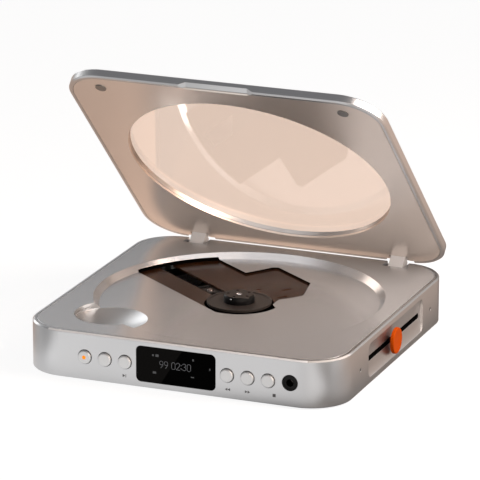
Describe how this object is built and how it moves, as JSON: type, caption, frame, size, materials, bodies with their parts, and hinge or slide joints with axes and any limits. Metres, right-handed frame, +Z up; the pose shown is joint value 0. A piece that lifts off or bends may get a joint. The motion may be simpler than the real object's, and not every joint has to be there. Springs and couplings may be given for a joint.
{
  "type": "disc player",
  "caption": "Flat square aluminium disc player with a rear-hinged window lid, open disc mechanism, front push buttons, display and a side volume slider.",
  "frame": {"origin": "centre of the square footprint, on the surface that the feet stand on or the wall that it hangs on", "axes": "+X to the right as seen from the front, +Y to the back where the lid's hinges are, +Z up out of the deck"},
  "size_m": [0.1593, 0.1639, 0.1347],
  "materials": {
    "shell_aluminium": "bead-blasted satin",
    "deck_aluminium": "satin",
    "black_gloss": "gloss",
    "clear_pane": "clear",
    "black_plastic": "matte",
    "graphite_plastic": "matte",
    "brown_gloss": "gloss",
    "steel": "brushed",
    "chrome": "polished",
    "orange_plastic": "satin",
    "rubber": "matte",
    "circuit_board": "satin",
    "white_nylon": "satin",
    "battery_wrap": "satin",
    "lens_glass": "coated"
  },
  "bodies": {
    "base": {"body_shell": "shell_aluminium", "deck_plate": "deck_aluminium", "bottom_cover": "shell_aluminium", "bottom_screws": "steel", "rubber_feet": "rubber", "display_window": "black_gloss", "display_module": "graphite_plastic", "headphone_jack": "black_plastic", "usb_socket": "steel", "main_board": "circuit_board", "button_board": "circuit_board", "tact_switches": "graphite_plastic", "battery_pack": "battery_wrap", "left_hinge_bracket": "steel", "right_hinge_bracket": "steel", "hinge_pins": "steel", "hinge_bracket_screws": "steel", "catch_magnets": "chrome", "lid_sensor": "circuit_board", "mechanism_chassis": "graphite_plastic", "mechanism_cover": "brown_gloss", "damper_grommets": "rubber", "chassis_screws": "steel", "guide_rods": "steel", "spindle_motor": "steel", "sled_motor": "steel", "gear_axle": "steel", "slide_potentiometer": "graphite_plastic", "side_screws": "black_plastic"},
    "lid": {"lid_frame": "shell_aluminium", "lid_inner_panel": "deck_aluminium", "window_pane": "clear_pane", "lid_magnets": "chrome", "left_hinge_arm": "chrome", "right_hinge_arm": "chrome"},
    "turntable": {"spindle_shaft": "steel", "turntable_platter": "graphite_plastic", "spindle_hub": "black_plastic", "hub_cap": "chrome", "hub_balls": "chrome"},
    "pickup": {"pickup_sled": "black_plastic", "sled_rack": "white_nylon"},
    "lens": {"lens_holder": "graphite_plastic", "objective_lens": "lens_glass"},
    "gear": {"reduction_gear": "white_nylon"},
    "pinion": {"motor_pinion": "white_nylon"},
    "power": {"power_button": "shell_aluminium", "power_indicator": "orange_plastic"},
    "mode": {"mode_button": "shell_aluminium"},
    "play": {"play_button": "shell_aluminium"},
    "previous": {"previous_button": "shell_aluminium"},
    "next": {"next_button": "shell_aluminium"},
    "stop": {"stop_button": "shell_aluminium"},
    "volume": {"volume_knob": "orange_plastic", "slider_stem": "black_plastic"}
  },
  "joints": [
    {"name": "lid_hinge", "type": "hinge", "parent": "base", "child": "lid", "pos_m": [0, 0.0782, 0.01957], "axis": [-1, 0, 0], "range_deg": [-44.2, 0]},
    {"name": "turntable_spin", "type": "hinge", "parent": "base", "child": "turntable", "pos_m": [0, 0, 0], "axis": [0, 0, 1], "continuous": true},
    {"name": "pickup_slide", "type": "slide", "parent": "base", "child": "pickup", "axis": [-0.7986, 0.6018, 0], "range_m": [-0.005, 0.031]},
    {"name": "lens_focus", "type": "slide", "parent": "pickup", "child": "lens", "axis": [0, 0, 1], "range_m": [-0.0004, 0.0004], "stiffness_N_per_m": 100},
    {"name": "gear_spin", "type": "hinge", "parent": "base", "child": "gear", "pos_m": [-0.03182, 0.00263, 0], "axis": [0, 0, 1], "range_deg": [-100, 600]},
    {"name": "pinion_spin", "type": "hinge", "parent": "base", "child": "pinion", "pos_m": [-0.03938, -0.00739, 0], "axis": [0, 0, 1], "range_deg": [-2400, 400]},
    {"name": "power_press", "type": "slide", "parent": "base", "child": "power", "axis": [0, 1, 0], "range_m": [0, 0.0008], "stiffness_N_per_m": 800, "springref_m": -0.0005},
    {"name": "mode_press", "type": "slide", "parent": "base", "child": "mode", "axis": [0, 1, 0], "range_m": [0, 0.0008], "stiffness_N_per_m": 800, "springref_m": -0.0005},
    {"name": "play_press", "type": "slide", "parent": "base", "child": "play", "axis": [0, 1, 0], "range_m": [0, 0.0008], "stiffness_N_per_m": 800, "springref_m": -0.0005},
    {"name": "previous_press", "type": "slide", "parent": "base", "child": "previous", "axis": [0, 1, 0], "range_m": [0, 0.0008], "stiffness_N_per_m": 800, "springref_m": -0.0005},
    {"name": "next_press", "type": "slide", "parent": "base", "child": "next", "axis": [0, 1, 0], "range_m": [0, 0.0008], "stiffness_N_per_m": 800, "springref_m": -0.0005},
    {"name": "stop_press", "type": "slide", "parent": "base", "child": "stop", "axis": [0, 1, 0], "range_m": [0, 0.0008], "stiffness_N_per_m": 800, "springref_m": -0.0005},
    {"name": "volume_slide", "type": "slide", "parent": "base", "child": "volume", "axis": [0, 1, 0], "range_m": [-0.03, 0.037]}
  ],
  "couplings": [
    {"joint": "gear_spin", "follows": "pickup_slide", "rad_per_m": 333.33},
    {"joint": "pinion_spin", "follows": "pickup_slide", "rad_per_m": -1333.3}
  ]
}
